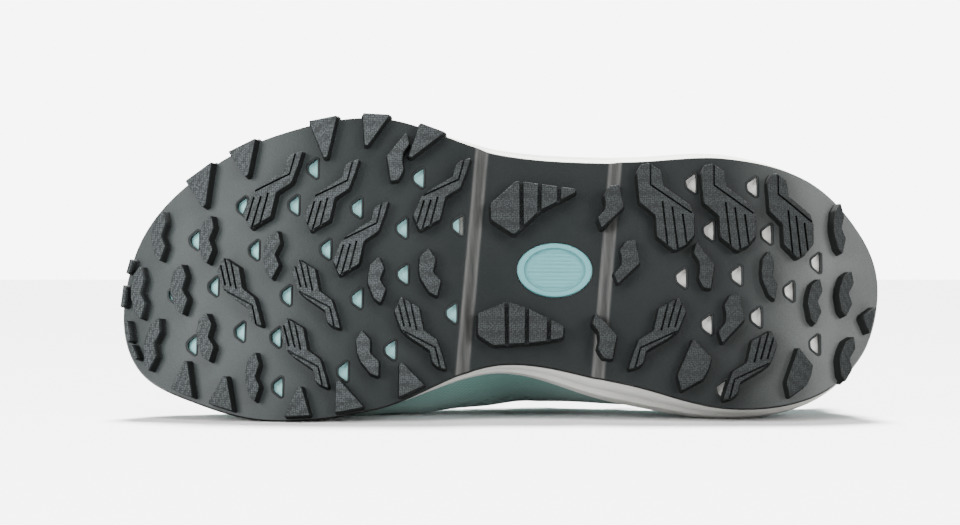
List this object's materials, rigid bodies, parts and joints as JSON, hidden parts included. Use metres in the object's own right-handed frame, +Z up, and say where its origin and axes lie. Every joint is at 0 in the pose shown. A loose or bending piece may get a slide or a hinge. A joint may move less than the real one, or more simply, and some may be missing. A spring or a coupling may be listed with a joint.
{
  "type": "trail running shoe",
  "caption": "Left trail running shoe lying on its inner side, with a lugged rubber tread, foam midsole and laced mesh upper.",
  "frame": {"origin": "on the floor under the middle of the shoe's bounding box", "axes": "+Z up from the floor, the toe towards -X, the tread towards -Y, the outer side up"},
  "size_m": [0.296, 0.1198, 0.1178],
  "materials": {
    "tread_rubber": "satin",
    "white_foam": "matte",
    "teal_foam": "matte",
    "upper_mesh": "matte",
    "overlay_film": "satin",
    "tongue_mesh": "matte",
    "lining": "matte",
    "webbing": "matte",
    "lace_cord": "matte",
    "eyelet_ring": "satin"
  },
  "bodies": {
    "root": {"outsole": "tread_rubber", "arch_inset": "teal_foam", "forefoot_foam": "teal_foam", "midsole": "white_foam", "insole": "lining", "upper": "upper_mesh", "toe_cap": "overlay_film", "heel_counter": "overlay_film", "eyestay_lateral": "overlay_film", "eyestay_medial": "overlay_film", "tongue": "tongue_mesh", "pull_loop": "webbing", "lace": "lace_cord", "eyelet_lateral_1": "eyelet_ring", "eyelet_lateral_2": "eyelet_ring", "eyelet_lateral_3": "eyelet_ring", "eyelet_lateral_4": "eyelet_ring", "eyelet_lateral_5": "eyelet_ring", "eyelet_lateral_6": "eyelet_ring", "eyelet_medial_1": "eyelet_ring", "eyelet_medial_2": "eyelet_ring", "eyelet_medial_3": "eyelet_ring", "eyelet_medial_4": "eyelet_ring", "eyelet_medial_5": "eyelet_ring", "eyelet_medial_6": "eyelet_ring"}
  },
  "joints": []
}
